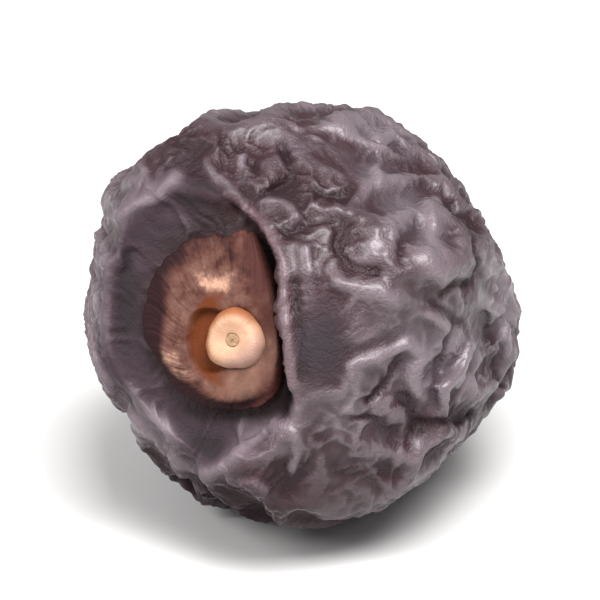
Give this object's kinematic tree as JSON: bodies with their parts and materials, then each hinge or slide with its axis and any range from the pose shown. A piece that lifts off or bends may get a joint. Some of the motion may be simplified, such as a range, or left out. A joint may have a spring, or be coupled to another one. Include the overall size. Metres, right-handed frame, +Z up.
{
  "type": "ajwa date",
  "caption": "Sun-dried ajwa date: a short, plump fruit with dark crumpled skin and a papery cap sunk in its stalk end, lying on a flattened belly.",
  "frame": {"origin": "on the surface that the date lies on, under the middle of its bounding box", "axes": "+Z up; the stalk axis lies over the Y axis, with the cap towards -Y and tipped up by 14 degrees; +X across the date"},
  "size_m": [0.0226, 0.029, 0.0221],
  "materials": {
    "skin": "dark aubergine dried skin, softly glossy on the folds with a greyish bloom",
    "petals": "dry, matt, papery, dusty reddish tan",
    "sepals": "dry, matt, woody cream",
    "scar": "dry, fibrous, brown"
  },
  "bodies": {
    "root": {"fruit": "skin", "petals": "petals", "sepal_cup": "sepals", "stalk_scar": "scar"}
  },
  "joints": []
}
